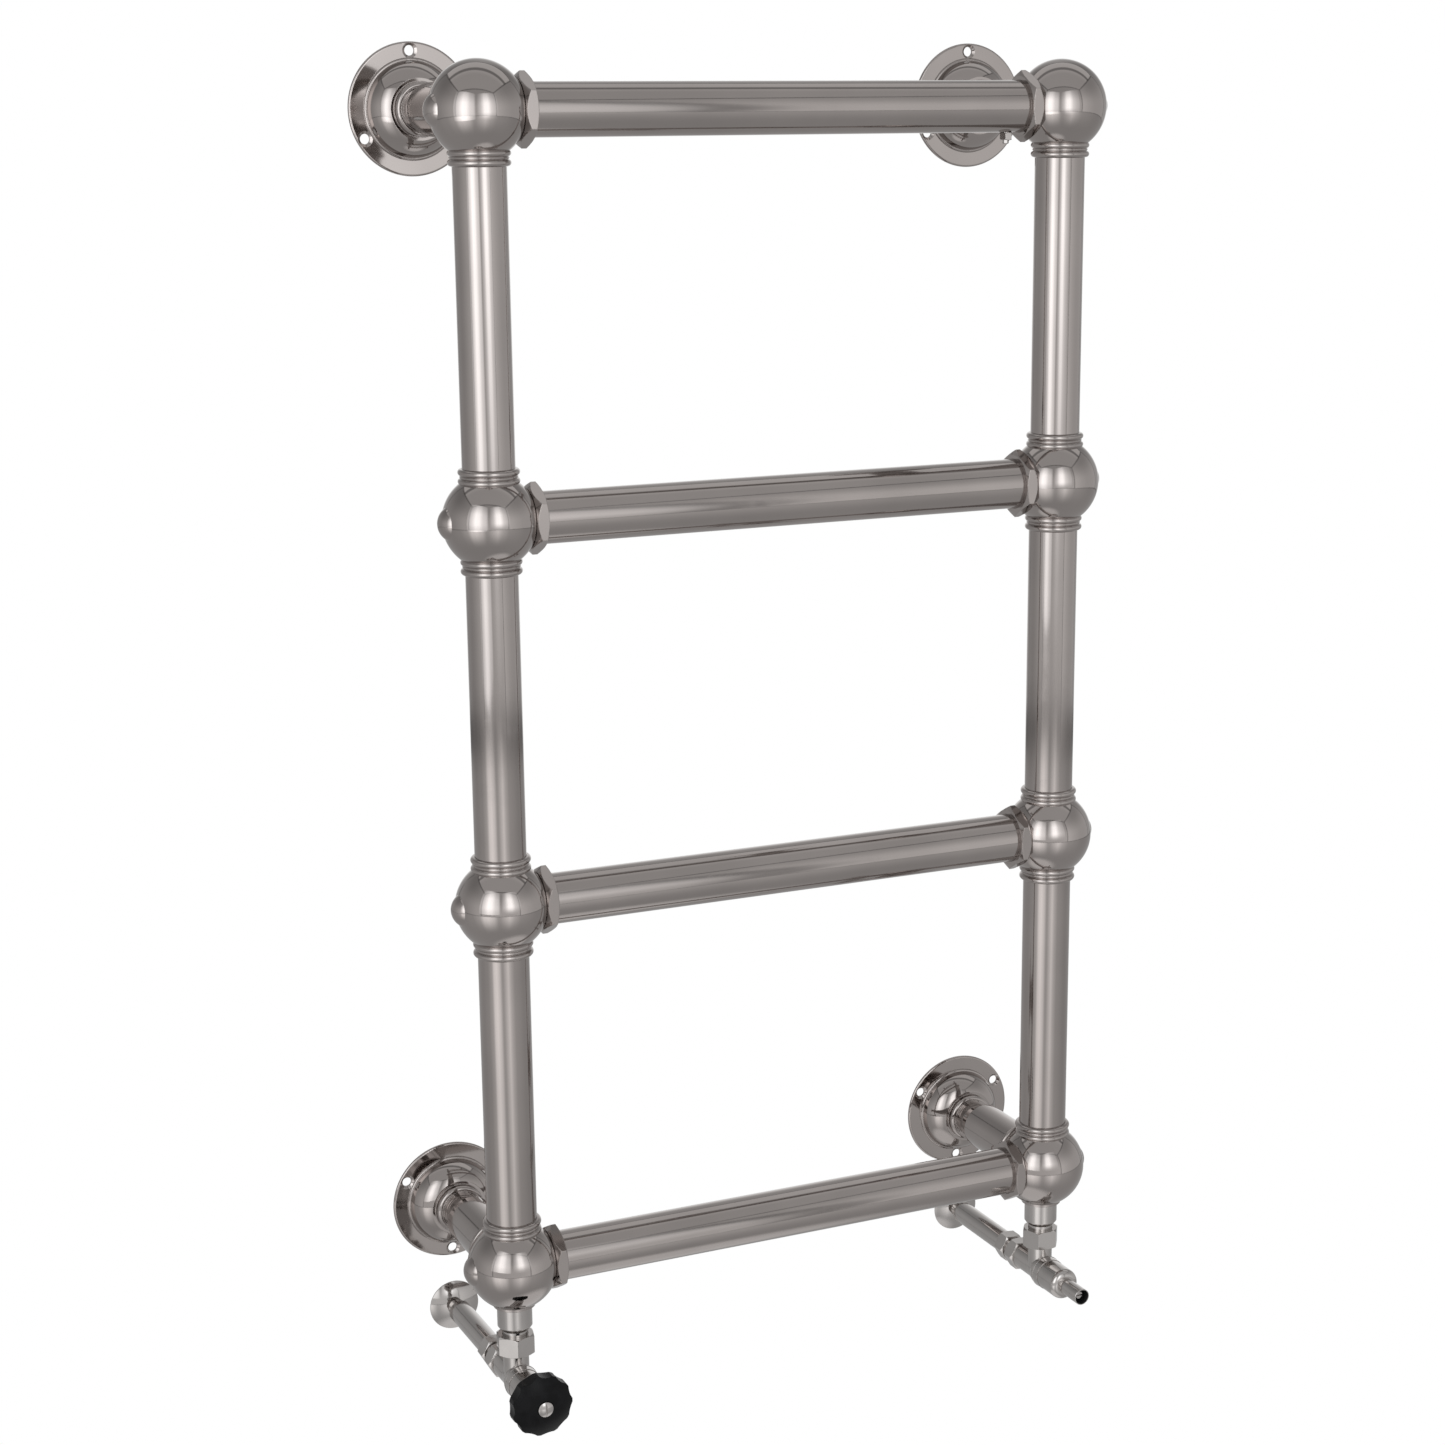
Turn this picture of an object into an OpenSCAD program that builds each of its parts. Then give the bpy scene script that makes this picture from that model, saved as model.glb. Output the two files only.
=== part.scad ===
// Ball-jointed towel radiator with a wheelhead valve, a lockshield valve and a bleed valve.
// Millimetres, +Z up. The origin lies on the wall plane, midway between the two posts and midway
// between the upper and lower wall brackets. The front faces -Y and the wall is the plane Y = 0.

/* [Frame] */
// Distance between the two post axes
centres = 512.8; // [400:0.2:700]
// Height step from one rail axis to the next
rail_pitch = 313.4; // [200:0.2:400]
// Distance from the post axes to the wall
wall_gap = 161.6; // [130:0.2:220]
// Outer diameter of posts, rails and wall sleeves
tube_d = 42; // [35:0.5:48]
// Tube wall thickness
tube_wall = 1.5; // [1:0.1:3]

/* [Ball joints] */
// Ball outer diameter
ball_d = 76.4; // [70:0.2:90]
// Cast wall of the ball
ball_wall = 4; // [3:0.5:8]
// Radius of the rounded boss on the outer side
dome_r = 15; // [11:0.5:20]
// How far that boss stands out from the ball
dome_rise = 4.8; // [3:0.2:8]
// Largest radius of the collar beads
bead_r = 24.5; // [23:0.1:28]
// Length of a collar beyond the ball
collar_l = 11; // [9:0.5:20]
// Radius of the ring round the wall sleeve
ring_r = 27.5; // [25:0.5:32]

/* [Rail nuts] */
// Rail nut size across flats
rail_nut_af = 50.2; // [46:0.2:56]
// Rail nut length along the rail
rail_nut_l = 10.4; // [8:0.2:16]

/* [Wall brackets] */
// Wall flange diameter
flange_d = 106; // [90:1:130]
// Thickness of the flange rim
flange_t = 3.4; // [2:0.2:6]
// Width of the flat rim outside the dome
rim_w = 14.5; // [10:0.5:20]
// Rounding radius of the flange dome
dome_round = 23.5; // [18:0.5:26]
// Radius of the bracket neck between flange and sleeve
neck_r = 16.5; // [12:0.5:18]
// Distance from the wall to the end of the wall sleeve
sleeve_start = 53.5; // [40:0.5:70]
// Distance of the screw holes from the flange edge
hole_edge = 7; // [5.5:0.5:12]
// Screw hole diameter on the flange
flange_hole = 8.2; // [5:0.1:10]

/* [Connectors] */
// Diameter of the connector shank below each lower ball
shank_d = 29.5; // [26:0.5:34]
// Diameter of the connector neck
shank_neck_d = 22; // [18:0.5:24]
// Union nut size across flats
union_af = 30; // [27:0.5:36]
// Length of the union nut
union_l = 17; // [12:0.5:22]
// Union nut turn on the wheelhead side
union_turn_left = 17; // [0:1:60]
// Union nut turn on the lockshield side
union_turn_right = 55; // [0:1:60]

/* [Valves] */
// Distance from the bottom of the lower ball down to the valve axis
valve_below = 63.8; // [57:0.2:85]
// Radius of the valve barrel
barrel_r = 14.5; // [12:0.1:17]
// Radius of the bonnet
bonnet_r = 14; // [12:0.1:16]
// Size across flats of the hexagon on the valve body
body_hex_af = 25.4; // [22:0.1:28]
// Compression nut size across flats
comp_nut_af = 23.6; // [21:0.1:27]
// Supply pipe diameter
pipe_d = 15; // [12:1:22]
// Outer diameter of the sleeve over the supply pipe
cover_d = 20.3; // [18:0.1:24]
// Length of bare pipe between that sleeve and the wall
bare_pipe = 17; // [9:0.5:30]
// Diameter of the cover plate on the wall
rose_d = 45; // [40:1:60]
// Axial travel of the valve head for one turn
thread_pitch = 1.5; // [1:0.1:3]

/* [Handwheel] */
// Diameter over the grip lobes
wheel_d = 53; // [45:0.5:60]
// Number of grip lobes
wheel_lobes = 11; // [6:1:14]
// Depth of the hollows between the lobes
lobe_depth = 1.7; // [0.5:0.1:3]
// Thickness of the grip rim
wheel_t = 12; // [8:0.5:18]

/* [Bleed valve] */
// Bleed plug size across flats
bleed_af = 9.8; // [8:0.1:14]
// Distance of the bleed plug from the post axis
bleed_in = 52.5; // [48:0.5:90]

/* [Hidden] */
$fn = 96;
e = 0.01;
fit = 0.05;          // radial clearance of a sliding or screwed fit
gap = 0.1;           // end clearance between parts that meet
tube_r = tube_d / 2;
tube_ri = tube_r - tube_wall;
socket_r = tube_r + fit;
ball_r = ball_d / 2;
half = centres / 2;
top_z = rail_pitch * 1.5;
collar_r = tube_r + 1.4;
back_r = tube_r + 2.6;
spigot_r = tube_r + 1.9;
nut_seat_r = rail_nut_af / 2 - 0.8;
dome_out = ball_r + dome_rise - dome_r;     // boss centre from the ball centre
// how far out the ball surface is at a given radius
function ball_z(r) = sqrt(ball_r * ball_r - r * r);
collar_h = ball_z(collar_r) + collar_l;     // collar end above the ball centre
nut_x = ball_z(nut_seat_r) + 0.73;          // start of the rail nut from the ball centre
spigot_end = nut_x + 4.8;                   // end of the threaded rail spigot
back_ring_z = ball_z(back_r) + 3.6;
post_seat = collar_h - 17;                  // tube end to ball centre, posts
rail_seat = nut_x - 6.2;                    // the same, rails
back_seat = back_ring_z - 6.6;              // the same, wall sleeves
hole_sink = 1.5;                            // depth of the countersink of a screw hole
dome_foot_r = flange_d / 2 - rim_w;
flange_pcd = flange_d - 2 * hole_edge;
pipe_r = pipe_d / 2;
thread_r = 13.2;     // union thread
shank_r = shank_d / 2;
neck2_r = shank_neck_d / 2;
shank_top = ball_r - 7.2;
shank_end = ball_r + 15.8;
shank_tip = shank_end + 4;
union_top = shank_end + 8;
union_end = union_top + union_l;
seat_z = union_top + 8;   // sealing face of the union
valve_drop = ball_r + valve_below;
valve_z = -top_z - valve_drop;
post_y = -wall_gap;
waist_r = barrel_r - 2.7;
lever_in = 5.5;      // seat bore of the valves
hex_from = 28.7;
hex_to = 42;
comp_from = 48;
comp_to = 62;
spigot2_end = 52;
bonnet_from = 19.5;
bonnet_to = 47;
wheel_from = 50;
wheel_to = wheel_from + wheel_t;
stub_end = 75;
nickel = [0.62, 0.6, 0.58];
plated = [0.66, 0.65, 0.63];
black = [0.05, 0.05, 0.05];
copper = [0.72, 0.42, 0.28];
brass_c = [0.72, 0.58, 0.32];

// ---- helpers -------------------------------------------------------------------------------
// level 0 is the top ball, 3 the bottom one; side is -1 for left and 1 for right
function level_z(level) = top_z - level * rail_pitch;
module at_ball(side, level) translate([side * half, post_y, level_z(level)]) children();
// lays a part turned about +Z along the wall normal: its +Z then points to the wall
module to_wall() rotate([-90, 0, 0]) children();
// the same, its +Z pointing to the front
module to_front() rotate([90, 0, 0]) children();
// lays a part turned about +Z along the rails, pointing inwards from the given side
module inwards(side) rotate([0, -side * 90, 0]) children();
module at_valve(side) translate([side * half, post_y, valve_z]) children();
module ring(r_out, r_in, h) difference() {
    cylinder(r = r_out, h = h);
    translate([0, 0, -1]) cylinder(r = r_in, h = h + 2);
}
// hexagonal prism by its size across flats
module hex(af, h) cylinder(r = af / 2 / cos(30), h = h, $fn = 6);
// hexagon with both ends turned down to a smaller circle
module nut_blank(af, h, end_r, depth, end_depth = 0) intersection() {
    hex(af, h);
    last = end_depth > 0 ? end_depth : depth;
    union() {
        cylinder(r1 = end_r, r2 = af / 2 / cos(30) + e, h = depth);
        translate([0, 0, depth - e]) cylinder(r = af / 2 / cos(30) + e, h = h - depth - last + 2 * e);
        translate([0, 0, h - last]) cylinder(r1 = af / 2 / cos(30) + e, r2 = end_r, h = last);
    }
}

// ---- ball joints ---------------------------------------------------------------------------
// outer collar of a post socket, turned about +Z from the ball centre outwards
module collar() rotate_extrude() union() {
    translate([0, collar_h - 20]) square([collar_r, 17.5]);
    // two beads, each with a fine ring on its ball side
    translate([bead_r - 2.7, collar_h - 2.9]) circle(r = 2.7);
    translate([bead_r - 2.6, collar_h - 10.1]) circle(r = 2.6);
    for (z = [6.6, 13.1]) translate([bead_r - 2.6, collar_h - z]) circle(r = 1.2);
    polygon([[0, collar_h - 3.5], [tube_r + 0.9, collar_h - 3.5], [tube_r + 0.9, collar_h - 0.5],
        [tube_r + 0.4, collar_h], [0, collar_h]]);
}
module post_void() {
    translate([0, 0, post_seat]) cylinder(r = socket_r, h = 30);
    cylinder(r = tube_ri - 1, h = post_seat + 1);
}
// rounded boss on the blind side of the ball
module side_dome() translate([0, 0, dome_out]) sphere(r = dome_r);
// built for the right side, the left one is its mirror image
module ball(side, level) {
    if (side < 0) mirror([1, 0, 0]) ball_casting(level);
    else ball_casting(level);
}
module ball_casting(level) {
    wall_port = level == 0 || level == 3;
    difference() {
        union() {
            difference() {
                union() {
                    sphere(r = ball_r);
                    inwards(-1) side_dome();
                }
                sphere(r = ball_r - ball_wall);
                inwards(-1) translate([0, 0, dome_out]) sphere(r = dome_r - ball_wall);
            }
            // rail socket with its threaded spigot
            inwards(1) translate([0, 0, nut_x - 10]) cylinder(r = spigot_r, h = spigot_end - nut_x + 10);
            if (level > 0) collar();
            if (level < 3) mirror([0, 0, 1]) collar();
            if (wall_port) to_wall() {
                translate([0, 0, back_ring_z - 11.6]) cylinder(r = back_r, h = 14);
                translate([0, 0, back_ring_z]) rotate_extrude() translate([ring_r - 3, 0]) circle(r = 3);
            }
            if (level == 3) translate([0, 0, 2.2 - ball_r]) cylinder(r = shank_r + 3, h = 10);
        }
        inwards(1) {
            translate([0, 0, rail_seat]) cylinder(r = socket_r, h = 30);
            cylinder(r = tube_ri - 1, h = rail_seat + 1);
            // flat face behind the rail nut
            translate([0, 0, nut_x - gap]) ring(ball_r + 2, spigot_r, 30);
        }
        if (level > 0) post_void();
        if (level < 3) mirror([0, 0, 1]) post_void();
        if (wall_port) to_wall() {
            translate([0, 0, back_seat]) cylinder(r = socket_r, h = 30);
            cylinder(r = tube_ri - 1, h = back_seat + 1);
        }
        if (level == 3) mirror([0, 0, 1]) {
            translate([0, 0, shank_top]) cylinder(r = shank_r + fit, h = 20);
            cylinder(r = 9, h = ball_r + 2);
        }
    }
}
module ball_left_1() color(nickel) at_ball(-1, 0) ball(-1, 0);
module ball_left_2() color(nickel) at_ball(-1, 1) ball(-1, 1);
module ball_left_3() color(nickel) at_ball(-1, 2) ball(-1, 2);
module ball_left_4() color(nickel) at_ball(-1, 3) ball(-1, 3);
module ball_right_1() color(nickel) at_ball(1, 0) ball(1, 0);
module ball_right_2() color(nickel) at_ball(1, 1) ball(1, 1);
module ball_right_3() color(nickel) at_ball(1, 2) ball(1, 2);
module ball_right_4() color(nickel) at_ball(1, 3) ball(1, 3);

// ---- tubes ---------------------------------------------------------------------------------
module post(side, level) at_ball(side, level + 1) translate([0, 0, post_seat + gap])
    ring(tube_r, tube_ri, rail_pitch - 2 * post_seat - 2 * gap);
module post_left_1() color(nickel) post(-1, 0);
module post_left_2() color(nickel) post(-1, 1);
module post_left_3() color(nickel) post(-1, 2);
module post_right_1() color(nickel) post(1, 0);
module post_right_2() color(nickel) post(1, 1);
module post_right_3() color(nickel) post(1, 2);

module rail(level) at_ball(-1, level) translate([rail_seat + gap, 0, 0]) rotate([0, 90, 0])
    ring(tube_r, tube_ri, centres - 2 * rail_seat - 2 * gap);
module rail_1() color(nickel) difference() {
    rail(0);
    // tapped hole for the bleed plug
    translate([half - bleed_in, post_y, top_z - tube_r - 3]) cylinder(r = 3.5 + fit, h = 8);
}
module rail_2() color(nickel) rail(1);
module rail_3() color(nickel) rail(2);
module rail_4() color(nickel) rail(3);

// ---- rail nuts and sealing rings ---------------------------------------------------------------
module rail_nut() difference() {
    translate([0, 0, nut_x]) nut_blank(rail_nut_af, rail_nut_l, nut_seat_r, 4.2, 2.2);
    translate([0, 0, nut_x - 1]) cylinder(r = spigot_r + fit, h = spigot_end + 1.6 - nut_x + 1);
    translate([0, 0, nut_x - 1]) cylinder(r = socket_r, h = rail_nut_l + 2);
}
module rail_nuts(level) for (side = [-1, 1]) at_ball(side, level) inwards(side) rail_nut();
module rail_nuts_1() color(nickel) rail_nuts(0);
module rail_nuts_2() color(nickel) rail_nuts(1);
module rail_nuts_3() color(nickel) rail_nuts(2);
module rail_nuts_4() color(nickel) rail_nuts(3);
module seal_rings() color(black) {
    for (side = [-1, 1], level = [0:3]) at_ball(side, level) inwards(side)
        translate([0, 0, spigot_end + 0.8])
            rotate_extrude() translate([tube_r + 0.85, 0]) circle(r = 0.7);
    for (side = [-1, 1]) at_valve(side) to_front()
        translate([0, 0, 37]) rotate_extrude() translate([5.3, 0]) circle(r = 0.72);
}

// ---- wall brackets -------------------------------------------------------------------------
module wall_sleeve(side, level) at_ball(side, level) to_wall() translate([0, 0, back_seat + gap]) {
    l = wall_gap - sleeve_start - back_seat - gap;
    difference() {
        union() {
            cylinder(r = tube_r, h = l - 1.2);
            translate([0, 0, l - 1.2]) rotate_extrude() union() {
                square([tube_r - 1.2, 1.2]);
                intersection() {
                    translate([tube_r - 1.2, 0]) circle(r = 1.2);
                    square([tube_r, 1.2]);
                }
            }
        }
        translate([0, 0, -1]) cylinder(r = tube_ri, h = l - 7);
        translate([0, 0, -1]) cylinder(r = neck_r + fit, h = l + 2);
    }
}
module wall_sleeve_top_left() color(nickel) wall_sleeve(-1, 0);
module wall_sleeve_top_right() color(nickel) wall_sleeve(1, 0);
module wall_sleeve_bottom_left() color(nickel) wall_sleeve(-1, 3);
module wall_sleeve_bottom_right() color(nickel) wall_sleeve(1, 3);

// turned about +Z from the wall outwards
module flange_body(first_hole) {
    foot = dome_foot_r - dome_round;
    difference() {
        rotate_extrude() union() {
            square([flange_d / 2 - flange_t / 2, flange_t]);
            translate([flange_d / 2 - flange_t / 2, flange_t / 2]) circle(r = flange_t / 2);
            translate([dome_foot_r + 0.2, flange_t]) circle(r = 1.7);
            intersection() {
                translate([foot, flange_t]) circle(r = dome_round);
                translate([0, flange_t - 1]) square([dome_foot_r + 1, dome_round - 1.0]);
            }
            square([foot + 7, flange_t + dome_round - 1.6]);
            translate([neck_r + 2.1, flange_t + dome_round + 1.6]) circle(r = 3);
            square([neck_r + 1.4, flange_t + dome_round + 5.2]);
            square([neck_r, sleeve_start + 22]);
        }
        // cored out from the back
        translate([0, 0, -1]) rotate_extrude() union() {
            square([dome_foot_r - 5, flange_t + 1]);
            intersection() {
                translate([foot, flange_t + 1]) circle(r = dome_round - 5);
                square([60, 60]);
            }
            square([foot, flange_t + dome_round - 4]);
        }
        translate([0, 0, -1]) cylinder(r = neck_r - 3.5, h = sleeve_start + 24);
        for (i = [0:2]) rotate([0, 0, first_hole + i * 120]) translate([flange_pcd / 2, 0, 0]) {
            translate([0, 0, -1]) cylinder(r = flange_hole / 2, h = flange_t + 2);
            translate([0, 0, flange_t - hole_sink])
                cylinder(r1 = flange_hole / 2, r2 = flange_hole / 2 + 2.1 + e, h = hole_sink + e);
        }
    }
}
module wall_flange(side, level) translate([side * half, 0, level_z(level)]) to_front()
    flange_body(level == 0 ? 90 : 270);
module wall_flange_top_left() color(nickel) wall_flange(-1, 0);
module wall_flange_top_right() color(nickel) wall_flange(1, 0);
module wall_flange_bottom_left() color(nickel) wall_flange(-1, 3);
module wall_flange_bottom_right() color(nickel) wall_flange(1, 3);

// ---- bleed valve -----------------------------------------------------------------------------
module at_bleed() translate([half - bleed_in, post_y, top_z - tube_r]) mirror([0, 0, 1]) children();
module bleed_plug() color(plated) at_bleed() difference() {
    union() {
        translate([0, 0, gap]) nut_blank(bleed_af, 6, bleed_af / 2 - 0.1, 0.8);
        translate([0, 0, -tube_wall - 1.5]) cylinder(r = 3.5, h = tube_wall + 2);
    }
    translate([0, 0, -8]) cylinder(r = 1.2, h = 12);
    translate([0, 0, 1.2]) cylinder(r = 2.6 + fit, h = 8);
}
module bleed_screw() color(plated) at_bleed() difference() {
    union() {
        translate([0, 0, 1.6]) cylinder(r1 = 1.4, r2 = 2.6, h = 1.2);
        translate([0, 0, 2.8]) cylinder(r = 2.6, h = 5.8);
        translate([0, 0, 8.6]) cylinder(r1 = 2.6, r2 = 2.2, h = 0.5);
    }
    translate([-4, -0.5, 7.9]) cube([8, 1, 3]);
}

// ---- connectors and unions -------------------------------------------------------------------
module connector(side) at_ball(side, 3) mirror([0, 0, 1]) difference() {
    rotate_extrude() polygon([[0, shank_top + gap], [shank_r, shank_top + gap], [shank_r, shank_end],
        [shank_r - 0.6, shank_end + 1], [neck2_r + 0.9, shank_tip - 0.3], [neck2_r, shank_tip],
        [neck2_r, seat_z - 3.4], [thread_r - 0.4, seat_z - 2.8], [thread_r - 0.4, seat_z], [0, seat_z]]);
    translate([0, 0, shank_top - 1]) cylinder(r = 8, h = 60);
}
module connector_left() color(plated) connector(-1);
module connector_right() color(plated) connector(1);
module union_nut(side, turn) at_ball(side, 3) mirror([0, 0, 1]) difference() {
    translate([0, 0, union_top]) rotate([0, 0, turn])
        nut_blank(union_af, union_l, union_af / 2 - 0.1, 1.3);
    translate([0, 0, union_top - 1]) cylinder(r = neck2_r + gap, h = 30);
    translate([0, 0, union_top + 4.2]) cylinder(r = thread_r + fit, h = 30);
}
module union_nut_left() color(plated) union_nut(-1, union_turn_left);
module union_nut_right() color(plated) union_nut(1, union_turn_right);
module union_washers() color([0.25, 0.16, 0.12]) for (side = [-1, 1]) at_ball(side, 3)
    translate([0, 0, -seat_z - 1.5]) ring(thread_r - 0.4, 8.5, 1.5 - fit);

// ---- valves ----------------------------------------------------------------------------------
// turned about the valve axis, +Z pointing to the wall
module valve_body(side) at_valve(side) difference() {
    union() {
        to_wall() {
            rotate_extrude() polygon([[0, -10.4], [barrel_r - 0.4, -10.4], [barrel_r - 0.4, -7.5],
                [barrel_r - 1.6, -4.5], [waist_r + 0.4, 0.5], [waist_r, 4],
                [waist_r, hex_from + 0.5], [0, hex_from + 0.5]]);
            translate([0, 0, hex_from])
                nut_blank(body_hex_af, hex_to - hex_from, body_hex_af / 2 - 0.2, 1.7);
            translate([0, 0, hex_to - 1]) cylinder(r = 9.8, h = spigot2_end - hex_to + 1);
        }
        to_front() {
            translate([0, 0, 10.2]) rotate_extrude() union() {
                square([barrel_r, bonnet_from - 10.2]);
                translate([barrel_r - 0.8, 1.2]) circle(r = 1.2);
            }
        }
        cylinder(r = neck2_r, h = valve_drop - union_end + 1);
        translate([0, 0, valve_drop - union_end + 0.3])
            cylinder(r = thread_r, h = union_end - seat_z - 1.8);
    }
    // waterway from the outlet
    translate([0, 0, 0]) cylinder(r = 8, h = 60);
    to_front() {
        translate([0, 0, -8]) cylinder(r = 9.5, h = 40);
        translate([0, 0, 9.5]) cylinder(r = 11 + fit, h = 40);
        translate([0, 0, -15]) cylinder(r = lever_in, h = 20);
    }
    to_wall() {
        translate([0, 0, 14]) cylinder(r = 6.5, h = 20);
        translate([0, 0, 30]) cylinder(r = pipe_r + fit, h = 60);
    }
}
module valve_body_left() color(plated) valve_body(-1);
module valve_body_right() color(plated) valve_body(1);

// common inside of both bonnets: hexagonal guide for the jumper and the spindle bearing
module bonnet_void() {
    translate([0, 0, 9]) hex(14.2, 16);
    translate([0, 0, 24]) cylinder(r = 8.3, h = 7);
    cylinder(r = 4.5 + fit, h = 60);
    translate([0, 0, 36]) cylinder(r = 6.1, h = 2);
}
module bonnet_barrel() {
    translate([0, 0, 9.7]) cylinder(r = 11, h = 12);
    translate([0, 0, bonnet_from + fit]) rotate_extrude() union() {
        square([bonnet_r, bonnet_to - 6 - bonnet_from]);
        intersection() {
            translate([bonnet_r - 6, bonnet_to - 6 - bonnet_from - e]) circle(r = 6);
            square([bonnet_r, 60]);
        }
        square([bonnet_r - 6, bonnet_to - bonnet_from - fit]);
    }
}
module bonnet_left() color(plated) at_valve(-1) to_front() difference() {
    union() {
        bonnet_barrel();
        cylinder(r = 7.4, h = 49);
    }
    bonnet_void();
    translate([0, 0, -1]) cylinder(r = 8.3, h = 12.6);
    translate([0, 0, -1]) cylinder(r = 20, h = 10.7);
}
module bonnet_right() color(plated) at_valve(1) to_front() difference() {
    union() {
        bonnet_barrel();
        translate([0, 0, 40]) cylinder(r = 7.4, h = stub_end - 40 - 0.4);
        translate([0, 0, stub_end - 0.4 - e]) cylinder(r1 = 7.4, r2 = 7.1, h = 0.4);
    }
    bonnet_void();
    translate([0, 0, -1]) cylinder(r = 20, h = 10.7);
    translate([0, 0, 58]) cylinder(r = 6.7, h = 40);
}

module spindle_core(shaft_end) {
    translate([0, 0, 3]) cylinder(r = 4, h = 24);
    translate([0, 0, 26.5]) cylinder(r = 7.8, h = 4.4);
    translate([0, 0, 30]) cylinder(r = 4.5, h = shaft_end - 30);
}
module spindle_left() color(plated) at_valve(-1) to_front() difference() {
    union() {
        spindle_core(50.2);
        translate([-3.2, -3.2, 49]) cube([6.4, 6.4, 14]);
    }
    translate([0, 0, 52]) cylinder(r = 2.05, h = 20);
}
module spindle_right() color(plated) at_valve(1) to_front() difference() {
    union() {
        spindle_core(60.8);
        translate([0, 0, 60]) cylinder(r = 3.3, h = 10);
    }
    translate([-5, -0.6, 68]) cube([10, 1.2, 4]);
}
// rests closed on the seat; the hexagon keeps it from turning while the spindle thread draws it
module jumper(side) at_valve(side) to_front() difference() {
    union() {
        translate([0, 0, -5.8]) cylinder(r = 8.8, h = 3);
        translate([0, 0, -4]) hex(14, 18);
        translate([0, 0, -7.6]) cylinder(r = 2.4, h = 4);
    }
    translate([0, 0, -1.5]) cylinder(r = 4 + fit, h = 30);
}
module jumper_left() color(brass_c) jumper(-1);
module jumper_right() color(brass_c) jumper(1);
module jumper_washer(side) at_valve(side) to_front() translate([0, 0, -7.95]) ring(7.9, 2.45, 2.1);
module jumper_washer_left() color(black) jumper_washer(-1);
module jumper_washer_right() color(black) jumper_washer(1);

module handwheel() color(black) at_valve(-1) to_front() {
    r = wheel_d / 2;
    cap_h = 8;
    cap_r = (r * r + cap_h * cap_h) / 2 / cap_h;
    sc = 16;
    difference() {
        union() {
            translate([0, 0, wheel_from]) cylinder(r1 = r - 3, r2 = r, h = 3);
            translate([0, 0, wheel_from + 3]) cylinder(r = r, h = wheel_t - 3 + e);
            intersection() {
                translate([0, 0, wheel_to + cap_h - cap_r]) sphere(r = cap_r);
                translate([0, 0, wheel_to]) cylinder(r = r, h = 20);
            }
        }
        for (i = [0:wheel_lobes - 1]) rotate([0, 0, 180 / wheel_lobes + i * 360 / wheel_lobes])
            translate([r - lobe_depth + sc, 0, wheel_from - 5]) cylinder(r = sc, h = 60);
        // hollow back, square socket and screw seat
        translate([0, 0, wheel_from - 1]) ring(r - 5.5, 9, 7);
        translate([-3.25, -3.25, wheel_from - 5]) cube([6.5, 6.5, 18.1]);
        translate([0, 0, wheel_from - 1]) cylinder(r = 4.7, h = 1.4);
        translate([0, 0, wheel_from]) cylinder(r = 2.6, h = 40);
        translate([0, 0, wheel_to + cap_h - 2.2]) cylinder(r = 7, h = 10);
    }
}
module handwheel_screw() color(plated) at_valve(-1) to_front() translate([0, 0, wheel_to + 5.9])
difference() {
    union() {
        translate([0, 0, -14]) cylinder(r = 2, h = 14.5);
        cylinder(r = 6.5, h = 2.2);
        intersection() {
            translate([0, 0, 2.2 + 1.8 - 12.64]) sphere(r = 12.64);
            translate([0, 0, 2.1]) cylinder(r = 6.5, h = 5);
        }
    }
    translate([-0.6, -8, 2.4]) cube([1.2, 16, 4]);
}
module lockshield_liner() color(black) at_valve(1) to_front() difference() {
    translate([0, 0, 61.2]) cylinder(r = 6.65, h = 13);
    translate([0, 0, 61]) cylinder(r = 3.3 + gap, h = 20);
    translate([0, 0, 65.5]) cylinder(r = 6.05, h = 20);
}

// ---- supply side -----------------------------------------------------------------------------
module comp_nut(side) at_valve(side) to_wall() difference() {
    translate([0, 0, comp_from]) nut_blank(comp_nut_af, comp_to - comp_from, comp_nut_af / 2 - 0.2, 1.6);
    translate([0, 0, comp_from - 1]) cylinder(r = pipe_r + gap, h = 30);
    translate([0, 0, comp_from - 1]) cylinder(r = 9.8 + fit, h = 11);
}
module comp_nut_left() color(plated) comp_nut(-1);
module comp_nut_right() color(plated) comp_nut(1);
module olives() color(copper) for (side = [-1, 1]) at_valve(side) to_wall()
    translate([0, 0, spigot2_end + gap]) difference() {
        rotate_extrude() polygon([[0, 0], [8.6, 0], [9.3, 1.8], [9.3, 3.8], [8.6, 5.6], [0, 5.6]]);
        translate([0, 0, -1]) cylinder(r = pipe_r + fit / 2, h = 10);
    }
// the tail behind the wall plane is where the house pipework joins
module supply_pipe(side) at_valve(side) to_wall() difference() {
    translate([0, 0, 30 + gap]) cylinder(r = pipe_r, h = wall_gap - 30 - gap + 25);
    translate([0, 0, 25]) cylinder(r = pipe_r - 1, h = wall_gap + 50);
    translate([0, 0, wall_gap]) ring(pipe_r + 3, pipe_r - 0.2, 1);
}
module supply_pipe_left() color(plated) supply_pipe(-1);
module supply_pipe_right() color(plated) supply_pipe(1);
module pipe_sleeve(side) at_valve(side) to_wall() translate([0, 0, comp_to + 0.3])
    ring(cover_d / 2, pipe_r + fit, wall_gap - comp_to - 0.3 - bare_pipe);
module pipe_sleeve_left() color(plated) pipe_sleeve(-1);
module pipe_sleeve_right() color(plated) pipe_sleeve(1);
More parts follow.
